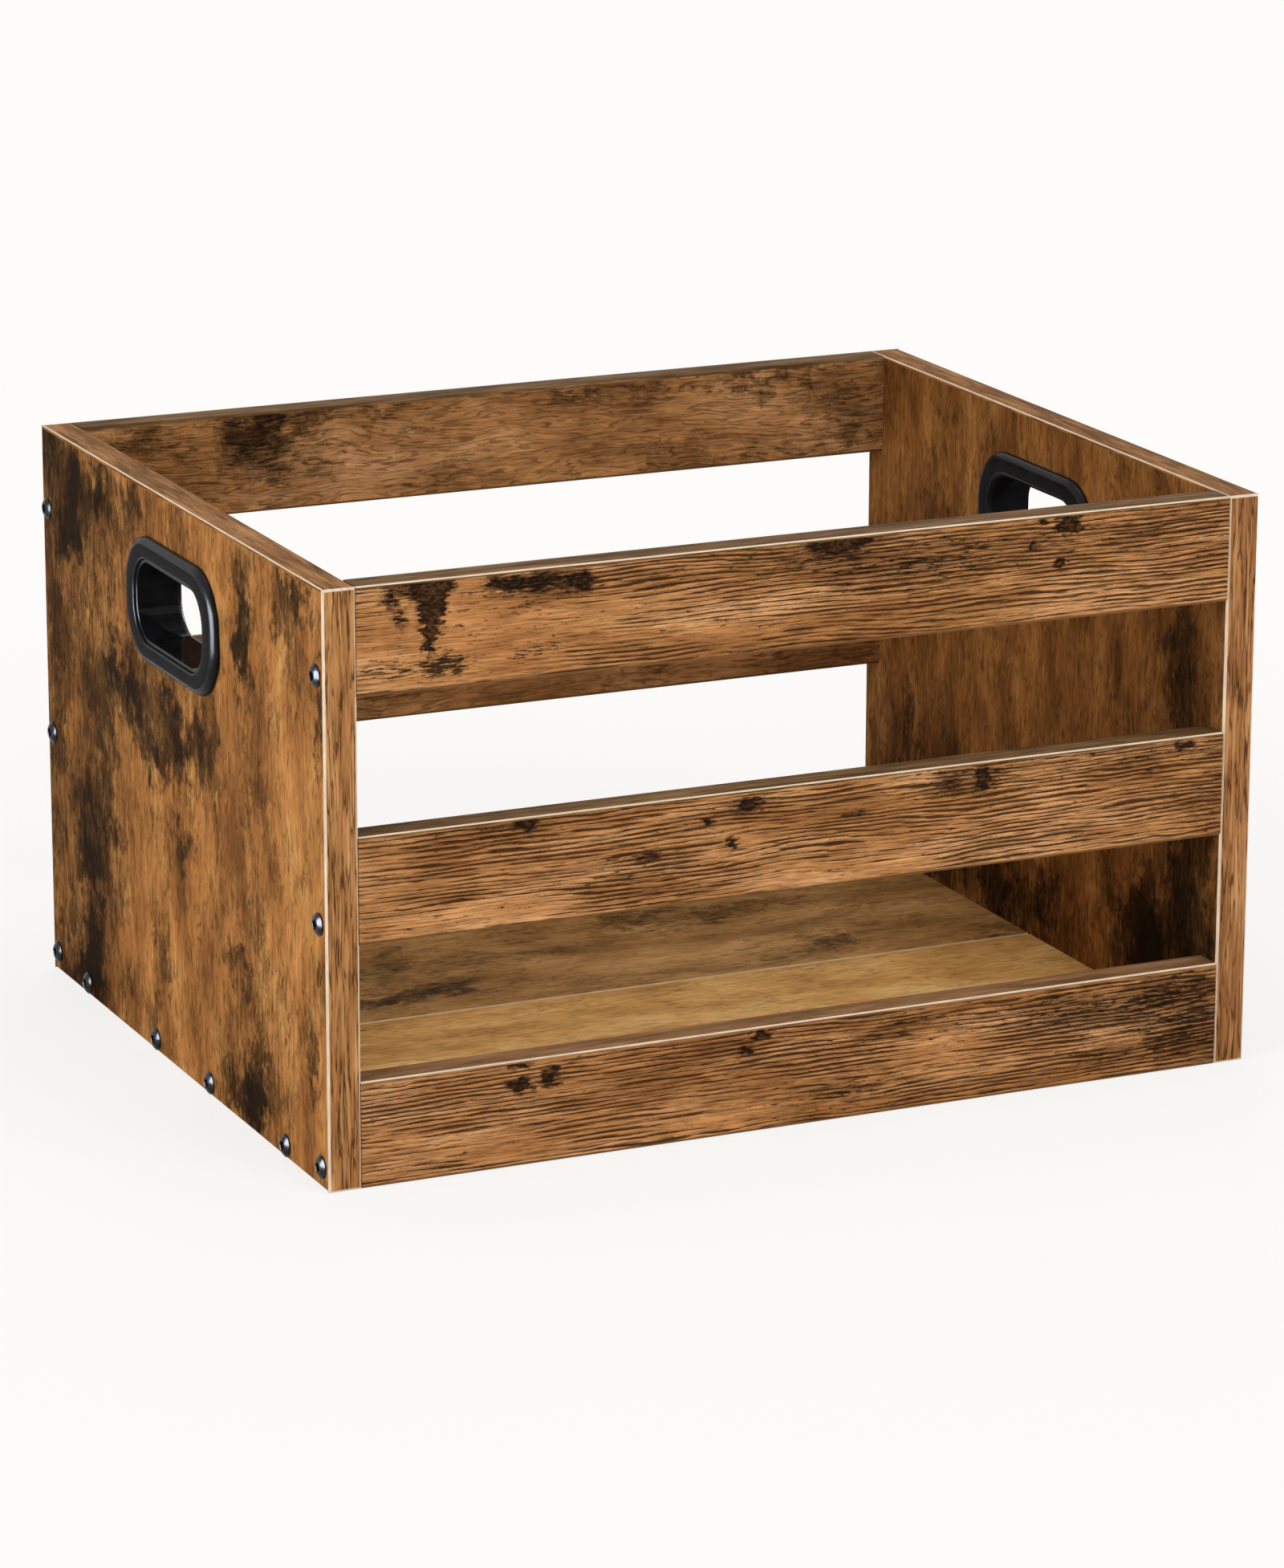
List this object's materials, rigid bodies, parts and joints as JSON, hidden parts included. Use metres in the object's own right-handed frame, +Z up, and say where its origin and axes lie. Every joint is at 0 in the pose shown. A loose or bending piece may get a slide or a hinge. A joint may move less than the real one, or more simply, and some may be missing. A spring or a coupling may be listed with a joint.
{
  "type": "record storage crate",
  "caption": "Open-topped slatted crate for long-play records: printed brown wood board ends with black moulded hand grips, front and rear slats, and a boarded floor.",
  "frame": {"origin": "centre of the crate's base", "axes": "+X along the crate towards its right end, -Y its front, +Z up"},
  "size_m": [0.448, 0.35, 0.26],
  "materials": {
    "printed_board": "printed rustic brown, satin",
    "edge_band": "printed edge band, pale bevel",
    "grip_plastic": "satin black moulding",
    "screw_black": "gloss black",
    "dowel_beech": "plain beech"
  },
  "bodies": {
    "root": {"left_end_panel": "printed_board", "left_end_front_band": "edge_band", "left_end_rear_band": "edge_band", "left_end_top_band": "edge_band", "left_end_bottom_band": "edge_band", "left_grip_outer": "grip_plastic", "left_grip_inner": "grip_plastic", "left_slat_screws": "screw_black", "left_floor_screws": "screw_black", "left_dowels": "dowel_beech", "right_end_panel": "printed_board", "right_end_front_band": "edge_band", "right_end_rear_band": "edge_band", "right_end_top_band": "edge_band", "right_end_bottom_band": "edge_band", "right_grip_outer": "grip_plastic", "right_grip_inner": "grip_plastic", "right_slat_screws": "screw_black", "right_floor_screws": "screw_black", "right_dowels": "dowel_beech", "front_bottom_slat": "printed_board", "front_bottom_slat_lower_band": "edge_band", "front_bottom_slat_upper_band": "edge_band", "front_middle_slat": "printed_board", "front_middle_slat_lower_band": "edge_band", "front_middle_slat_upper_band": "edge_band", "front_top_slat": "printed_board", "front_top_slat_lower_band": "edge_band", "front_top_slat_upper_band": "edge_band", "front_floor_board": "printed_board", "front_floor_outer_band": "edge_band", "front_floor_inner_band": "edge_band", "rear_bottom_slat": "printed_board", "rear_bottom_slat_lower_band": "edge_band", "rear_bottom_slat_upper_band": "edge_band", "rear_middle_slat": "printed_board", "rear_middle_slat_lower_band": "edge_band", "rear_middle_slat_upper_band": "edge_band", "rear_top_slat": "printed_board", "rear_top_slat_lower_band": "edge_band", "rear_top_slat_upper_band": "edge_band", "rear_floor_board": "printed_board", "rear_floor_outer_band": "edge_band", "rear_floor_inner_band": "edge_band"}
  },
  "joints": []
}
